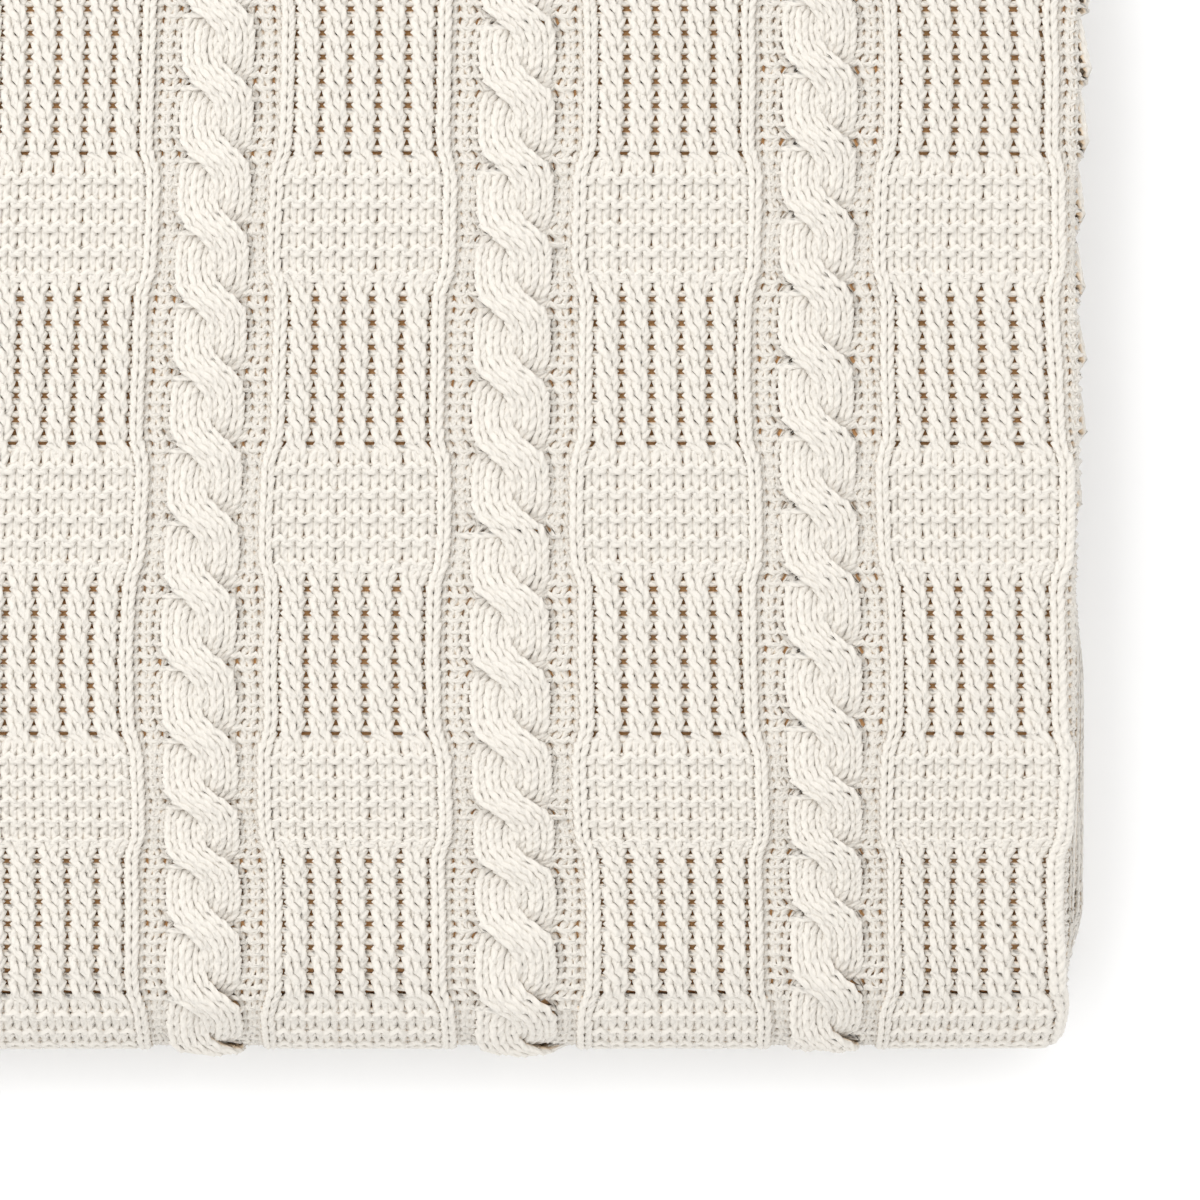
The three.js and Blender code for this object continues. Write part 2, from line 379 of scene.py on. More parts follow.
# %% [markdown]
# ## The yarn of one row
# A knitted row is one yarn that makes a loop in every wale: down to its foot, up a leg, over the
# head and down again. Across it follows t plus a sine that makes the head wider than the neck.
# Along it is a cosine a little taller than a row, so that heads and feet of neighbouring rows lock.
# In height it is a cosine of twice the rate, and its sign makes the stitch knit or purl.

# %% Loops
LOOP_RISE, PURL_RISE = 1.06, 1.16  # in rows, from the middle of a loop to its head
LOOP_LEAN = 0.22  # in stitch widths
LOOP_DEPTH = 0.95  # in mm
YARN = 2.2  # diameter in mm
PLUMP, ROPE_PLUMP = 0.22, 0.1  # how much thicker it looks in the panels, where it is slack, and in ropes
SLANT_UNEVEN, SIDE_UNEVEN, HEIGHT_UNEVEN = 0.08, 0.16, 0.12  # a share of the width, then mm
EDGE_SHADE = 1.3  # how much less painted shade an edge stitch gets, as if it lay this many mm nearer, since it is seen from the side
FOOT = np.array([0.27 * KNIT_W, 0.3, 0.0])  # how far a row's first and last foot reach past the strip


def row_yarn(wales, centres, rows, samples, seed):
    """Points (c, v, h) of the yarn's middle, one line for each row, and the height of the wale there."""
    order = yarn_order(wales, centres, rows)
    wale = wales[order][:, :, None, :]
    centre = centres[order][:, :, None]
    kind = wale[..., 0]
    t = (np.arange(samples) + 0.5) / samples
    along = -np.where(kind == PURL, PURL_RISE, LOOP_RISE) * np.cos(2 * PI * t)
    row = rows[:, None, None].astype(float)
    at = row + along
    c, h, width = wale_path(wale, centre, at)
    # base is the height from which the painted shade is measured; edge stitches count as nearer, so they
    # get less of it.
    base = 0.9 * h - EDGE_SHADE * ((kind == KNIT) & (wale[..., 4] == 0))
    jitter = unevenness(seed, 3, len(rows), len(wales), 1)
    across = (t - 0.5 + LOOP_LEAN * np.sin(4 * PI * t)) * width
    c = c + across * (1 + SLANT_UNEVEN * jitter[0]) + SIDE_UNEVEN * jitter[1]
    upper = np.clip(0.5 + along / 0.7, 0, 1)
    sign = face_sign(kind, row) * (1 - upper) + face_sign(kind, row + 1) * upper
    h = h - LOOP_DEPTH * sign * np.cos(4 * PI * t) + HEIGHT_UNEVEN * jitter[2]
    ridge = (kind == TWIST) * garter_share(at)
    phase = PI * (in_block(at)[1] - 0.5)
    h = h + RIDGE_LIFT * ridge * np.cos(phase)
    base = base + 0.8 * RIDGE_LIFT * ridge * np.cos(phase)
    at = at - RIDGE_PULL * ridge * np.sin(phase)
    points = np.stack(np.broadcast_arrays(c, V_START + at * ROW, h), -1).reshape(len(rows), -1, 3)
    plump = 1 + PLUMP * (kind == TWIST) + ROPE_PLUMP * (kind == ROPE)
    base, plump = (np.broadcast_to(a, c.shape).reshape(len(rows), -1) for a in (base, plump))
    points = np.concatenate([points[:, :1] - FOOT, points, points[:, -1:] + FOOT * [1, -1, 1]], 1)
    base, plump = (np.pad(a, ((0, 0), (1, 1)), mode="edge") for a in (base, plump))
    return points, base, plump


def tube_rings(points, diameter, sides):
    """Carries a circle along each line: side = tangent x up, and up again at right angles."""
    tangent = np.gradient(points, axis=1)
    tangent /= np.linalg.norm(tangent, axis=-1, keepdims=True)
    side = np.cross(tangent, [0.0, 0.0, 1.0])
    side /= np.linalg.norm(side, axis=-1, keepdims=True) + 1e-9
    up = np.cross(side, tangent)
    a = 2 * PI * np.arange(sides) / sides + PI / 2
    ring = np.cos(a)[:, None] * side[:, :, None, :] + np.sin(a)[:, None] * up[:, :, None, :]
    return points[:, :, None, :] + ring * diameter[..., None, None] / 2, a


print("a loop rises", round(2 * LOOP_RISE * ROW, 1), "mm from foot to head; the yarn is", YARN, "mm thick")

# %% Tubes into a mesh
def tube_faces(lines, length, sides):
    """Corner numbers of the quads between rings and of the two end caps of every line."""
    ring = np.arange(lines * length * sides).reshape(lines, length, sides)
    nxt = np.roll(ring, -1, axis=2)
    quads = np.stack([ring[:, :-1], ring[:, 1:], nxt[:, 1:], nxt[:, :-1]], -1).reshape(-1, 4)
    caps = np.concatenate([ring[:, 0, :], ring[:, -1, ::-1]])
    return quads, caps


def mesh_object(name, vertices, quads, others=None):
    """A smooth mesh object at the origin from vertices in mm and whole arrays of faces."""
    mesh = bpy.data.meshes.new(name)
    loops = quads.ravel()
    starts = np.arange(len(quads)) * 4
    if others is not None and len(others):
        starts = np.concatenate([starts, len(loops) + np.arange(len(others)) * others.shape[1]])
        loops = np.concatenate([loops, others.ravel()])
    mesh.vertices.add(len(vertices))
    mesh.vertices.foreach_set("co", (vertices * MM).astype(np.float32).ravel())
    mesh.loops.add(len(loops))
    mesh.loops.foreach_set("vertex_index", loops.astype(np.int32))
    mesh.polygons.add(len(starts))
    mesh.polygons.foreach_set("loop_start", starts.astype(np.int32))
    mesh.polygons.foreach_set("use_smooth", np.ones(len(starts), bool))
    mesh.update(calc_edges=True)
    made = bpy.data.objects.new(name, mesh)
    bpy.context.scene.collection.objects.link(made)
    return made


def closed_sheet(name, top, bottom):
    """A closed mesh from two equal grids of points, joined round the rim."""
    n, m = top.shape[:2]
    at = np.arange(2 * n * m).reshape(2, n, m)
    quads = []
    for k, flip in ((0, 1), (1, -1)):
        q = np.stack([at[k, :-1, :-1], at[k, 1:, :-1], at[k, 1:, 1:], at[k, :-1, 1:]], -1)
        quads.append(q.reshape(-1, 4)[:, ::flip])
    rim = np.concatenate([at[:, :-1, 0], at[:, -1, :-1], at[:, :0:-1, -1], at[:, 0, :0:-1]], axis=1)
    following = np.roll(rim, -1, axis=1)
    quads.append(np.stack([rim[0], rim[1], following[1], following[0]], -1))
    return mesh_object(name, np.stack([top, bottom]).reshape(-1, 3), np.concatenate(quads))


def set_attribute(made, name, kind, values):
    """Stores one value or vector for each vertex."""
    field = "value" if kind == "FLOAT" else "vector"
    layer = made.data.attributes.new(name, kind, "POINT")
    layer.data.foreach_set(field, np.ascontiguousarray(values, np.float32).ravel())


def set_tube_uv(made, lines, length, sides):
    """Unrolls each tube into its own band of the map, with a free band between bands."""
    s, a = np.meshgrid(np.arange(length - 1), np.arange(sides), indexing="ij")
    u = np.stack([s, s + 1, s + 1, s], -1) / (length - 1)
    v = np.stack([a, a, a + 1, a + 1], -1)
    band = np.arange(lines)[:, None, None, None] * (sides + 1)
    v = (v + band + 0.2) / (lines * (sides + 1))
    uv = np.stack(np.broadcast_arrays(u, v), -1).reshape(-1, 2)
    caps = np.zeros((len(made.data.loops) - len(uv), 2))
    layer = made.data.uv_layers.new(name="OFBake")
    layer.uv.foreach_set("vector", np.concatenate([uv, caps]).astype(np.float32).ravel())


print("a tube of 3 rings with 4 sides has", [len(part) for part in tube_faces(1, 3, 4)], "sides and caps")

# %% [markdown]
# ## Strips of knitting
# The yarn of a whole row would cross the pattern, so each mesh holds one strip of wales: a rope
# cable with its purl gutters, or a basket panel with its knit edges. Neighbouring strips end at
# the same point between two stitches.

# %% Strips
FAN_C = -171.0  # the pattern fans out a little, about this line, towards the front
FAN_FRONT, FAN_BACK = 0.030, -0.024  # the share by which it is wider in front and narrower behind
FAN_DEPTH = 330.0  # how far behind the front skin the fan has its back value
FAN_FROM, FAN_TO = 190, 420  # it fades between these distances from its line
EASE = 9.0  # by how many mm the rows are drawn together just behind the roll
RUN_PER_ROW = 7.31  # how much further along the yarn's twist each row starts
DRIFT_Y = (-159.0, -70.0, 21.0, 113.0)  # where on the top the sideways drift is given
DRIFT_C = (-430.0, -320.0, -222.0, -124.0, -26.0, 0.0, 110.0)
DRIFT = ((0, 1.5, -3.7, -1.5, -7.0, -4.0, 0),  # in mm, one row for each DRIFT_Y
         (0, -3.0, -6.2, -3.5, -4.2, -3.5, 0),
         (0, -0.7, -4.6, -3.8, -6.6, -3.5, 0),
         (0, 0.3, -2.9, -1.5, -2.7, -2.0, 0))


def drift(c, y):
    """How far the pattern lies sideways of its even place on the top, from hands that smoothed it:
    a table with straight lines between its points, along c and along y."""
    across = np.stack([np.interp(c, DRIFT_C, row) for row in DRIFT])
    share = np.stack([np.interp(y, DRIFT_Y, one) for one in np.eye(len(DRIFT_Y))])
    return (across * share).sum(axis=0)


def laid(c, v):
    """Where a stitch of the even pattern comes to lie. On the top the pattern fans out towards the
    front and drifts sideways, and its rows are drawn together just behind the roll."""
    y = np.interp(v, ROUTE_V, ROUTE_A[:, 0])
    top = smooth(v, ENDS[1] - 60, ENDS[1]) * (1 - smooth(v, ENDS[3], ENDS[4]))
    fan = np.interp((y - SKIN_Y) / FAN_DEPTH, [0.05, 1.0], [FAN_FRONT, FAN_BACK])
    eased = EASE * smooth(-v, -(TOP_V + 56), -(TOP_V - 14)) * smooth(v, ENDS[1] - 60, ENDS[1])
    fan = fan * (1 - smooth(np.abs(c - FAN_C), FAN_FROM, FAN_TO))
    return c + top * (fan * (c - FAN_C) + drift(c, y)), v + eased


def yarn_object(name, points, base, plump, sides, run_start):
    """Yarn lines in cloth space become tubes, are folded, and get their facts for the material."""
    rings, angles = tube_rings(points, YARN * plump, sides)
    c, v, h = np.moveaxis(rings, -1, 0)
    lines, length = rings.shape[:2]
    placed = fold(*laid(c, v), h).reshape(-1, 3)
    made = mesh_object(name, placed, *tube_faces(lines, length, sides))
    step = np.linalg.norm(np.diff(points, axis=1), axis=-1)
    run = np.concatenate([np.zeros((lines, 1)), np.cumsum(step, axis=1)], 1) + run_start[:, None]
    strand = np.stack(np.broadcast_arrays(np.cos(angles), np.sin(angles), run[..., None]), -1)
    set_attribute(made, "strand", "FLOAT_VECTOR", strand)
    # The material paints shade from this height above the wale's base.
    set_attribute(made, "relief", "FLOAT", h - base[..., None])
    set_tube_uv(made, lines, length, sides)
    return made


def knit_strip(name, wales, centres, first_v, last_v, detail):
    """One strip of yarn from route length first_v to last_v, folded, in mm. detail is the number of
    points to a stitch and of sides to the yarn. The seed comes from the strip's name."""
    rows = np.arange(math.ceil((first_v - V_START) / ROW), math.ceil((last_v - V_START) / ROW))
    facts = row_yarn(wales, centres, rows, detail[0], zlib.crc32(name.encode()))
    return yarn_object(name, *facts, detail[1], rows * RUN_PER_ROW)


def hem_strip(name, edge_v, inward, detail):
    """A chain of stitches along a hem: a two-wale strip turned to run across the cloth."""
    rows = np.arange(math.ceil((A_LEFT - 1) / ROW), math.ceil((B_LEFT + 1) / ROW))
    points, *facts = row_yarn(*edge_wales(0.0, inward), rows, detail[0], zlib.crc32(name.encode()))
    turned = points[..., [1, 0, 2]] + [-V_START, edge_v, 0]
    return yarn_object(name, turned, *facts, detail[1], rows * RUN_PER_ROW)


def edge_wales(edge, inward):
    """Two knit wales at an edge: one that stands a little lower at the very edge, one beside it."""
    wales = [(KNIT, 0.0, KNIT_W, 1, 0), (KNIT, inward * 3.4, KNIT_W, 0.2, 0)]
    return np.array(wales, float), np.full(2, edge)


def cable_wales(centre):
    """A six-stitch cable and the two purl stitches on each side of it."""
    pick = [20, 21, 0, 1, 2, 3, 4, 5, 6, 7]
    centres = np.array([centre - REPEAT] * 2 + [centre] * 8)
    return WALES[pick], centres


def basket_wales(centre):
    """The ten-stitch panel on the side-fold side of a cable, with a knit stitch at each edge."""
    return WALES[8:20], np.full(12, centre)


print("drift at the side fold, front to back:", drift(np.zeros(4), np.array(DRIFT_Y)), "mm")

# %% [markdown]
# ## The cloth under the loops
# Between the loops one sees deeper yarn, in shadow. A thin closed sheet inside each ply stands for
# it, with that shadow painted on it in warm brown, and keeps the throw one piece of cloth. It follows
# the same fold map, and where no loops are laid, inside the leaves and underneath, it is as thick as
# the ply and cream, without painted shade. It is cut in three where the inside plies begin, because
# the last fold opens there.

# %% Backing sheets
A_LEFT = SELVEDGE_X - FOLD_X + 1.5
B_LEFT = TURN - A_LEFT
UNDER, INNER, FULL = -2.3, -1.2, 2.7  # its height under loops, under pressed loops and without loops
BACK_H = -3.3  # the height of its other side
TONGUE = (ENDS[5] + ENDS[6]) / 2  # the route length at the middle of the inner turn
GRID_STEP = 5.5  # distance between its points along the route
SELVEDGE_RIM, HEM_RIM = (1, 3), (9, 12)  # it is pale, with no painted shade, up to the first distance from an edge, then the painted shade fades in
PRESSED_PALE = 0.8  # how much of the painted shade is taken off where plies press on each other, so that no gap looks deep


def bare(c, v):
    """1 where the cloth has no loops of its own: the ply inside each leaf, and the underside."""
    inside = smooth(c, 37, 42) * (1 - smooth(c, B_LEFT - 9, B_LEFT - 6))
    under = (1 - smooth(c, 1.5, 4.5)) * smooth(c, A_LEFT + 6, A_LEFT + 9)
    under = under * (1 - smooth(v, ENDS[1] - 6, ENDS[1]))
    return np.maximum(inside, under) * smooth(v, 5, 9) * (1 - smooth(v, ENDS[-1] - 9, ENDS[-1] - 5))


def backing(name, first_v, last_v):
    """A closed thin sheet: a grid of flat cloth, finer at the edges and round the side fold, is
    folded at the height of either side and joined round the rim."""
    flat_c = np.concatenate([[A_LEFT, A_LEFT + 3], np.linspace(A_LEFT + 7, -8, 44),
                             np.linspace(-4, TURN + 5, 11), np.linspace(TURN + 9, B_LEFT - 7, 32),
                             [B_LEFT - 3, B_LEFT]])
    flat_v = np.linspace(first_v, last_v, int((last_v - first_v) / GRID_STEP) + 1)
    c, v = np.meshgrid(flat_c, flat_v, indexing="ij")
    free, height = bare(c, v), loft(c, v)
    face = INNER + (UNDER - INNER) * (2 * height - 1) + (FULL - INNER) * free
    sides = [fold(*laid(c, v), h / height) for h in (face, np.full_like(c, BACK_H))]
    made = closed_sheet(name, *sides)
    flat = np.stack([np.stack([c, v, k * np.ones_like(c)], -1) for k in (1, 0)])
    set_attribute(made, "flat", "FLOAT_VECTOR", flat * [MM, MM, 1])
    # Where it is pale the backing shows cream without painted shade: at its rims, round the inner turn,
    # where it is bare and where plies press on each other.
    rim = 1 - smooth(np.minimum(c - A_LEFT, B_LEFT - c), *SELVEDGE_RIM)
    rim = np.maximum(rim, 1 - smooth(np.minimum(v, ENDS[-1] - v), *HEM_RIM))
    rim = np.maximum(rim, (v < ENDS[1]) * (1 - smooth(c, 13, 16)))
    turn = smooth(v, ENDS[5] - 40, ENDS[5] - 20) * (1 - smooth(v, ENDS[6] + 20, ENDS[6] + 40))
    pale = np.maximum(np.maximum(rim, turn), smooth(free, 0.02, 0.2))
    pale = np.maximum(pale, PRESSED_PALE * (2 - 2 * height))
    set_attribute(made, "bare", "FLOAT", np.stack([pale, np.ones_like(free)]))
    return made


outer = backing("throw_outer", 0.0, ENDS[4])
inner_upper = backing("throw_inner_upper", ENDS[4], TONGUE)
inner_lower = backing("throw_inner_lower", TONGUE, ENDS[7])
for sheet in (outer, inner_upper, inner_lower):
    print(sheet.name, len(sheet.data.polygons), "faces")

# %% All the strips
FINE, FAR, COARSE = (7, 5), (4, 4), (4, 3)  # points to a stitch, sides to the yarn
LAST_BASKET = np.r_[11:20]  # the panel at the selvedge has eight of its ten stitches
LEAVES = {  # name: (first v, last v, detail near the side fold, detail far from it)
    "top": (ENDS[1], ENDS[4], FINE, FAR),
    "upper_inside": (ENDS[4], TONGUE, COARSE, COARSE),
    "lower_inside": (TONGUE, ENDS[7], COARSE, COARSE),
}
strips = {leaf: [] for leaf in LEAVES}
for leaf, (first_v, last_v, near, far) in LEAVES.items():
    for k in range(7):
        centre = CABLE_C - (k - 1) * REPEAT
        wales, centres = cable_wales(centre)
        if k == 0:
            wales, centres = wales[:8], centres[:8]
        detail = near if k < 4 else far
        strips[leaf].append(knit_strip(f"{leaf}_cable_{k}", wales, centres, first_v, last_v, detail))
        if k > 0:
            detail = near if k < 5 else far
            part = basket_wales(centre)
            strips[leaf].append(knit_strip(f"{leaf}_basket_{k}", *part, first_v, last_v, detail))
    wales, centres = WALES[LAST_BASKET], np.full(9, CABLE_C - 6 * REPEAT)
    strips[leaf].append(knit_strip(f"{leaf}_basket_7", wales, centres, first_v, last_v, far))
    for side, edge, inward in (("a", A_LEFT, 1), ("b", B_LEFT, -1)):
        part = edge_wales(edge, inward)
        strips[leaf].append(knit_strip(f"{leaf}_selvedge_{side}", *part, first_v, last_v, COARSE))
strips["bottom"] = [knit_strip("bottom_cable_0", *cable_wales(CABLE_C + REPEAT), 0, ENDS[1], COARSE)]
for side, edge, inward in (("a", A_LEFT, 1), ("b", B_LEFT, -1)):
    part = edge_wales(edge, inward)
    strips["bottom"].append(knit_strip(f"bottom_selvedge_{side}", *part, 0, ENDS[1], COARSE))
strips["bottom"].append(hem_strip("cast_on_hem", 0.0, 1, COARSE))
strips["lower_inside"].append(hem_strip("bound_off_hem", ENDS[7], -1, COARSE))
yarn_count = sum(len(o.data.polygons) for group in strips.values() for o in group)
print(sum(len(g) for g in strips.values()), "strips,", 2 * yarn_count, "triangles")

# %% [markdown]
# ## Materials
# Two effects are shared, so each is a node group: the fuzz of the yarn, and the warm painted shade
# given to yarn and cloth where they lie deep among other yarn. The twist of the yarn is in its own
# material.

# %% Node groups
def node_group(name, inputs, outputs):
    """An empty group with named sockets. inputs and outputs are (name, socket type, default)."""
    group = bpy.data.node_groups.new(name, "ShaderNodeTree")
    for side, sockets in (("INPUT", inputs), ("OUTPUT", outputs)):
        for label, kind, default in sockets:
            socket = group.interface.new_socket(label, in_out=side, socket_type=kind)
            if default is not None:
                socket.default_value = default
    return group, group.nodes.new("NodeGroupInput"), group.nodes.new("NodeGroupOutput")


def add(tree, kind, **settings):
    """A new node in a tree, with its settings given by name."""
    node = tree.nodes.new(kind)
    for key, value in settings.items():
        setattr(node, key, value)
    return node


def join(tree, start, end):
    """Links an output socket to an input socket."""
    tree.links.new(start, end)


def fibre_group():
    """Fine fuzz, as the normal of a noise laid on Object coordinates."""
    group, given, result = node_group(
        "fibre_grain",
        [("Grain size", "NodeSocketFloat", 900.0), ("Strength", "NodeSocketFloat", 0.4),
         ("Normal", "NodeSocketVector", None)],
        [("Normal", "NodeSocketVector", None), ("Fuzz", "NodeSocketFloat", None)])
    where = add(group, "ShaderNodeTexCoord")
    noise = add(group, "ShaderNodeTexNoise")
    noise.inputs["Detail"].default_value = 3.0
    bump = add(group, "ShaderNodeBump")
    bump.inputs["Distance"].default_value = 0.0004
    join(group, where.outputs["Object"], noise.inputs["Vector"])
    join(group, given.outputs["Grain size"], noise.inputs["Scale"])
    join(group, noise.outputs["Fac"], bump.inputs["Height"])
    join(group, given.outputs["Strength"], bump.inputs["Strength"])
    join(group, given.outputs["Normal"], bump.inputs["Normal"])
    join(group, bump.outputs["Normal"], result.inputs["Normal"])
    join(group, noise.outputs["Fac"], result.inputs["Fuzz"])
    return group


MIDDLE_DEPTH, FAR_DEPTH = (-0.3, 1.3), (1.5, 2.7)  # in mm: where each step of painted shade begins and is full
FUZZ_LEAN = 0.5  # how far the fuzz shifts the depth


def painted_shade_group():
    """Painted shade from depth: the near colour where the yarn stands up, the far colour where it lies
    deep in shade, the middle one in between.
    """
    group, given, result = node_group(
        "painted_depth_shade",
        [("Depth", "NodeSocketFloat", 0.0), ("Fuzz", "NodeSocketFloat", 0.5),
         ("Near", "NodeSocketColor", None), ("Middle", "NodeSocketColor", None),
         ("Far", "NodeSocketColor", None)],
        [("Color", "NodeSocketColor", None)])
    lean = add(group, "ShaderNodeMath", operation="MULTIPLY_ADD")
    lean.inputs[1].default_value = FUZZ_LEAN
    first = add(group, "ShaderNodeMapRange", interpolation_type="SMOOTHSTEP")
    second = add(group, "ShaderNodeMapRange", interpolation_type="SMOOTHSTEP")
    for node, (begins, full) in ((first, MIDDLE_DEPTH), (second, FAR_DEPTH)):
        node.inputs["From Min"].default_value = begins
        node.inputs["From Max"].default_value = full
    warm = add(group, "ShaderNodeMix", data_type="RGBA")
    dark = add(group, "ShaderNodeMix", data_type="RGBA")
    join(group, given.outputs["Fuzz"], lean.inputs[0])
    join(group, given.outputs["Depth"], lean.inputs[2])
    for node, mix in ((first, warm), (second, dark)):
        join(group, lean.outputs[0], node.inputs["Value"])
        join(group, node.outputs["Result"], mix.inputs[0])
    join(group, given.outputs["Near"], warm.inputs[6])
    join(group, given.outputs["Middle"], warm.inputs[7])
    join(group, warm.outputs[2], dark.inputs[6])
    join(group, given.outputs["Far"], dark.inputs[7])
    join(group, dark.outputs[2], result.inputs["Color"])
    return group


FIBRE, PAINTED_SHADE = fibre_group(), painted_shade_group()
# The first colour is the yarn's own cream; the other three are painted shade: tan for yarn and cloth half
# deep, hazel for yarn lying deep, brown for the cloth seen between loops.
CREAM, SHADE_TAN = (0.67, 0.635, 0.58, 1), (0.70, 0.52, 0.34, 1)
SHADE_HAZEL, SHADE_BROWN = (0.68, 0.46, 0.28, 1), (0.80, 0.47, 0.22, 1)
for shared in (FIBRE, PAINTED_SHADE):
    print(shared.name, "has", len(shared.nodes), "nodes")


# %% Materials
def new_material(name, roughness, sheen):
    """A Principled material with its plain numbers on its own sockets."""
    material = bpy.data.materials.new(name)
    material.use_nodes = True
    shader = material.node_tree.nodes["Principled BSDF"]
    shader.inputs["Roughness"].default_value = roughness
    shader.inputs["Sheen Weight"].default_value = sheen
    shader.inputs["Specular IOR Level"].default_value = 0.25
    return material, material.node_tree, shader


def use_group(tree, group, **values):
    """Puts a node group in a material, with its numbers set by name."""
    node = add(tree, "ShaderNodeGroup", node_tree=group)
    for label, value in values.items():
        node.inputs[label.replace("_", " ")].default_value = value
    return node


YARN_LAY = 1.7  # how fast the plies of the yarn turn, in radians to a millimetre
BACKING_DEPTH = 2.8  # how deep the backing counts as lying between loops, in mm, so that it takes full painted brown shade there
PALE_DEPTH = -3.3  # what is added to that where it is pale, which takes the painted shade off


def yarn_material():
    """Yarn: two plies twisted round each other, fuzz, and shade painted by its depth in the knitting."""
    material, tree, shader = new_material("cream_yarn", 0.88, 0.2)
    strand = add(tree, "ShaderNodeAttribute", attribute_name="strand")
    relief = add(tree, "ShaderNodeAttribute", attribute_name="relief")
    parts = add(tree, "ShaderNodeSeparateXYZ")
    angle = add(tree, "ShaderNodeMath", operation="ARCTAN2")
    doubled = add(tree, "ShaderNodeMath", operation="MULTIPLY")
    doubled.inputs[1].default_value = 2.0
    lay = add(tree, "ShaderNodeMath", operation="MULTIPLY_ADD")
    lay.inputs[1].default_value = YARN_LAY
    wave = add(tree, "ShaderNodeMath", operation="SINE")
    twist = add(tree, "ShaderNodeBump")
    twist.inputs["Strength"].default_value = 0.5
    twist.inputs["Distance"].default_value = 0.0003
    depth = add(tree, "ShaderNodeMath", operation="MULTIPLY")
    depth.inputs[1].default_value = -1.0
    fibre = use_group(tree, FIBRE, Grain_size=1100.0, Strength=0.35)
    depth_shade = use_group(tree, PAINTED_SHADE, Near=CREAM, Middle=SHADE_TAN, Far=SHADE_HAZEL)
    join(tree, strand.outputs["Vector"], parts.inputs[0])
    join(tree, parts.outputs["Y"], angle.inputs[0])
    join(tree, parts.outputs["X"], angle.inputs[1])
    join(tree, angle.outputs[0], doubled.inputs[0])
    join(tree, parts.outputs["Z"], lay.inputs[0])
    join(tree, doubled.outputs[0], lay.inputs[2])
    join(tree, lay.outputs[0], wave.inputs[0])
    join(tree, wave.outputs[0], twist.inputs["Height"])
    join(tree, twist.outputs["Normal"], fibre.inputs["Normal"])
    join(tree, relief.outputs["Fac"], depth.inputs[0])
    join(tree, depth.outputs[0], depth_shade.inputs["Depth"])
    join(tree, fibre.outputs["Fuzz"], depth_shade.inputs["Fuzz"])
    join(tree, depth_shade.outputs["Color"], shader.inputs["Base Color"])
    join(tree, fibre.outputs["Normal"], shader.inputs["Normal"])
    return material


def backing_material():
    """The cloth under the loops: painted brown shade between them, and plain cream knitting without it
    where it is pale.
    """
    material, tree, shader = new_material("cream_cloth", 0.92, 0.15)
    unshaded_share = add(tree, "ShaderNodeAttribute", attribute_name="bare")
    flat = add(tree, "ShaderNodeAttribute", attribute_name="flat")
    wave = add(tree, "ShaderNodeTexWave", wave_type="BANDS", bands_direction="X", wave_profile="SIN")
    wave.inputs["Scale"].default_value = 36.0
    wave.inputs["Distortion"].default_value = 1.5
    rib = add(tree, "ShaderNodeBump")
    rib.inputs["Strength"].default_value = 0.6
    rib.inputs["Distance"].default_value = 0.0012
    depth = add(tree, "ShaderNodeMath", operation="MULTIPLY_ADD")
    depth.inputs[1].default_value = PALE_DEPTH
    depth.inputs[2].default_value = BACKING_DEPTH
    fibre = use_group(tree, FIBRE, Grain_size=700.0, Strength=0.5)
    depth_shade = use_group(tree, PAINTED_SHADE, Near=CREAM, Middle=SHADE_TAN, Far=SHADE_BROWN)
    join(tree, flat.outputs["Vector"], wave.inputs["Vector"])
    join(tree, wave.outputs["Fac"], rib.inputs["Height"])
    join(tree, rib.outputs["Normal"], fibre.inputs["Normal"])
    join(tree, unshaded_share.outputs["Fac"], depth.inputs[0])
    join(tree, depth.outputs[0], depth_shade.inputs["Depth"])
    join(tree, fibre.outputs["Fuzz"], depth_shade.inputs["Fuzz"])
    join(tree, depth_shade.outputs["Color"], shader.inputs["Base Color"])
    join(tree, fibre.outputs["Normal"], shader.inputs["Normal"])
    return material


yarn_look, cloth_look = yarn_material(), backing_material()
for made in (outer, inner_upper, inner_lower):
    made.data.materials.append(cloth_look)
for group in strips.values():
    for made in group:
        made.data.materials.append(yarn_look)
for look in (yarn_look, cloth_look):
    print(look.name, "has", len(look.node_tree.nodes), "nodes")

# %% The cloth's three pieces with their strips, and the nodes they replace
TONGUE_REACH = ROLL_Y - SKIN_Y - TONGUE_TIP
BEND_HALF = 2.5  # half the height of the band round the middle of the roll, in mm
BEND_LEAN = 0.02  # that band's plane sinks towards the back, below the back fold
bend_z = ((0, (SKIN_Y - BEND_HALF * BEND_LEAN) * MM, (MID_Z - BEND_HALF) * MM),
          (0, (SKIN_Y + BEND_HALF * BEND_LEAN) * MM, (MID_Z + BEND_HALF) * MM))
tip_front = (0, (SKIN_Y + TONGUE_TIP - TONGUE_REACH) * MM, MID_Z * MM)
tip_back = (0, (SKIN_Y + TONGUE_TIP + TONGUE_REACH) * MM, MID_Z * MM)
groups = (
    (outer, strips["top"] + strips["bottom"], bend_z),
    (inner_upper, strips["upper_inside"], (tip_front, tip_back)),
    (inner_lower, strips["lower_inside"], (tip_back, tip_front)),
)
for sheet, with_it, (start, end) in groups:
    for made in [sheet] + with_it:
        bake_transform(made)
REPLACED = {
    outer: ("ply_1 ply_2 ply_7 ply_8 side_fold_1 side_fold_4 front_roll_lower_3 front_roll_lower_4 "
            "front_roll_upper_3 front_roll_upper_4 roll_corner_lower_outer roll_corner_upper_outer "
            "back_fold_inner back_fold_outer back_corner cast_on_border"),
    inner_upper: ("ply_5 ply_6 side_fold_3 front_roll_upper_1 front_roll_upper_2 "
                  "roll_corner_upper_inner"),
    inner_lower: ("ply_3 ply_4 side_fold_2 front_roll_lower_1 front_roll_lower_2 "
                  "roll_corner_lower_inner bound_off_border"),
}
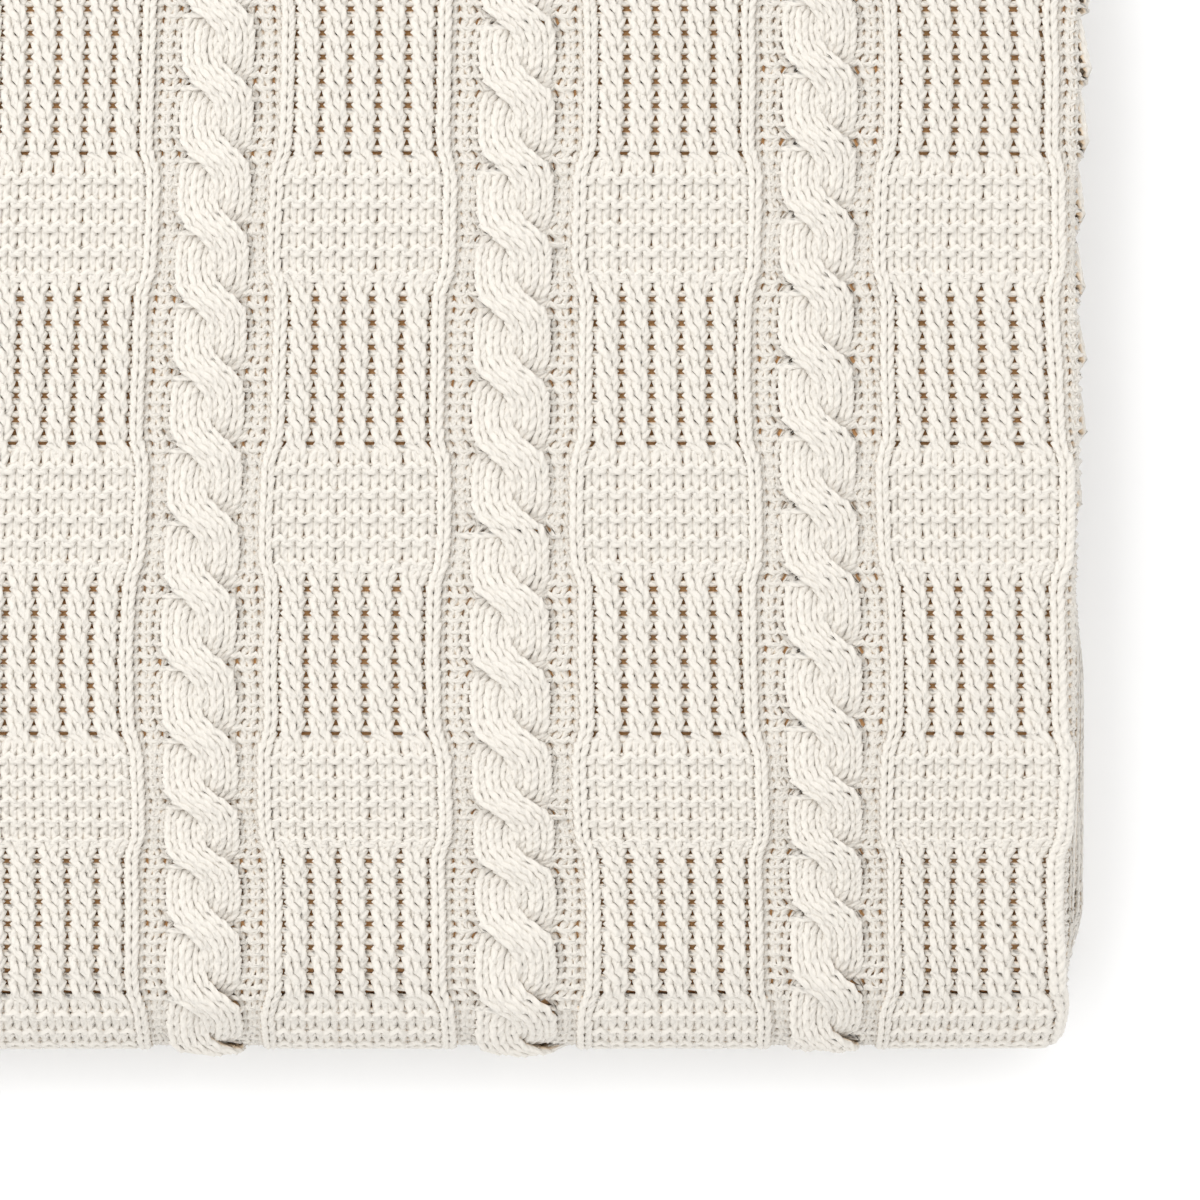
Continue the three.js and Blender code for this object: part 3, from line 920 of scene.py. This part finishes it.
for sheet, names in REPLACED.items():
    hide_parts(*names.split())
    print(sheet.name, "stands for", len(names.split()), "nodes")

# %% [markdown]
# ## The care label and its stitches
# A satin tab is caught in the cast-on hem. It is a ribbon: its line leaves the hem level and sinks a
# little at the tip, like the start of a falling curve.

# %% Care label
label_low, label_high = corner_mm("care_label", 0), corner_mm("care_label", 1)
LABEL_HALF = 0.25  # half its thickness in mm
LABEL_SINK = 2.2  # how far its tip sinks
LABEL_INSIDE = 6  # how far it reaches into the hem
LABEL_RUN = label_high[1] - label_low[1] + LABEL_INSIDE


def label_surface(u, v, side):
    """u runs across and v from inside the hem to the tip: z falls with v squared, and the width
    curls up a little at the corners."""
    x = label_low[0] + u * (label_high[0] - label_low[0])
    y = label_low[1] - LABEL_INSIDE + v * LABEL_RUN
    z = label_high[2] - 0.6 - LABEL_SINK * v ** 2 + 0.5 * v * np.cos(2 * PI * u)
    return np.stack([x, y, z + side * LABEL_HALF], -1)


u, v = np.meshgrid(np.linspace(0, 1, 25), np.linspace(0, 1, 17), indexing="ij")
label = closed_sheet("care_ribbon", label_surface(u, v, 1), label_surface(u, v, -1))
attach(label, "lower_half")
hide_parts("care_label")
print("the label is", (label_high[0] - label_low[0]).round(1), "by", LABEL_RUN.round(1), "mm")

# %% Stitches
STITCHES, STITCH_R = 7, 0.28
STITCH_SHARE = 0.62  # how much of its place each stitch takes up
STITCH_ARCH, STITCH_SINK = 0.34, 0.1  # how high it arches, and how far its ends lie in the ribbon
SEAM_INSET = 0.6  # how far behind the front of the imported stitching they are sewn
SEAM = corner_mm("label_stitching", 0)[1] + SEAM_INSET - label_low[1] + LABEL_INSIDE
t = np.linspace(0, 1, 12)
places = (np.arange(STITCHES) + 0.5) / STITCHES
line_u = places[:, None] + (t - 0.5) * STITCH_SHARE / STITCHES
points = label_surface(line_u, np.full_like(line_u, SEAM / LABEL_RUN), 1)
points[..., 2] += STITCH_ARCH * np.sin(PI * t) - STITCH_SINK
rings, _ = tube_rings(points, np.full(line_u.shape, 2 * STITCH_R), 6)
stitches = mesh_object("label_stitches", rings.reshape(-1, 3), *tube_faces(STITCHES, len(t), 6))
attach(stitches, "lower_half")
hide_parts("label_stitching")


def satin_material():
    """A smooth woven ribbon: fine threads across, and a soft gloss."""
    material, tree, shader = new_material("label_satin", 0.38, 0.0)
    shader.inputs["Base Color"].default_value = (0.80, 0.78, 0.74, 1)
    shader.inputs["Specular IOR Level"].default_value = 0.5
    fibre = use_group(tree, FIBRE, Grain_size=2600.0, Strength=0.15)
    join(tree, fibre.outputs["Normal"], shader.inputs["Normal"])
    return material


def thread_material():
    """Sewing thread, a little darker than the ribbon."""
    material, tree, shader = new_material("sewing_thread", 0.6, 0.1)
    shader.inputs["Base Color"].default_value = (0.62, 0.55, 0.45, 1)
    fibre = use_group(tree, FIBRE, Grain_size=3000.0, Strength=0.4)
    join(tree, fibre.outputs["Normal"], shader.inputs["Normal"])
    return material


label.data.materials.append(satin_material())
stitches.data.materials.append(thread_material())
print(STITCHES, "stitches,", len(stitches.data.polygons), "faces")

# %% [markdown]

# %% [markdown]
# ## The studio
# A plain pale floor, an even white world and one large soft lamp above the back left. The camera
# looks straight down on the front corner. Its height is the width it sees, times the lens, over the
# width of the sensor.

# %% Floor, light and camera
FLOOR_HALF = 3000.0  # in mm
VIEW_W = 0.3804  # how wide a strip of the top the camera sees, in metres
LENS, SENSOR = 189.0, 36.0
VIEW_X, VIEW_Y = 0.1620, -0.0514


def floor_material():
    """A pale matt floor."""
    material = bpy.data.materials.new("white_floor")
    material.use_nodes = True
    shader = material.node_tree.nodes["Principled BSDF"]
    shader.inputs["Base Color"].default_value = (0.9, 0.9, 0.9, 1)
    shader.inputs["Roughness"].default_value = 0.9
    return material


corners = np.array([[-1, -1, 0], [1, -1, 0], [1, 1, 0], [-1, 1, 0]]) * FLOOR_HALF
floor = mesh_object("floor", corners, np.array([[0, 1, 2, 3]]))
floor.data.materials.append(floor_material())
world = bpy.data.worlds.new("soft_white")
bpy.context.scene.world = world
world.use_nodes = True
sky = world.node_tree.nodes["Background"]
sky.inputs["Color"].default_value = (1, 1, 1, 1)
sky.inputs["Strength"].default_value = 1.3
light = bpy.data.lights.new("key", "AREA")
light.energy = 16
light.size = 1.2
lamp = bpy.data.objects.new("key", light)
lamp.location = (-0.7, 0.9, 1.6)
lamp.rotation_euler = (math.radians(-35), math.radians(-25), 0)
bpy.context.scene.collection.objects.link(lamp)
camera = bpy.data.objects.new("camera", bpy.data.cameras.new("camera"))
camera.data.lens = LENS
camera.data.sensor_width = SENSOR
camera.location = (VIEW_X, VIEW_Y, HEIGHT * MM + VIEW_W * LENS / SENSOR)
bpy.context.scene.collection.objects.link(camera)
bpy.context.scene.camera = camera
bpy.context.scene.view_settings.view_transform = "Standard"
print("the camera hangs", round(camera.location.z, 3), "m above the floor")
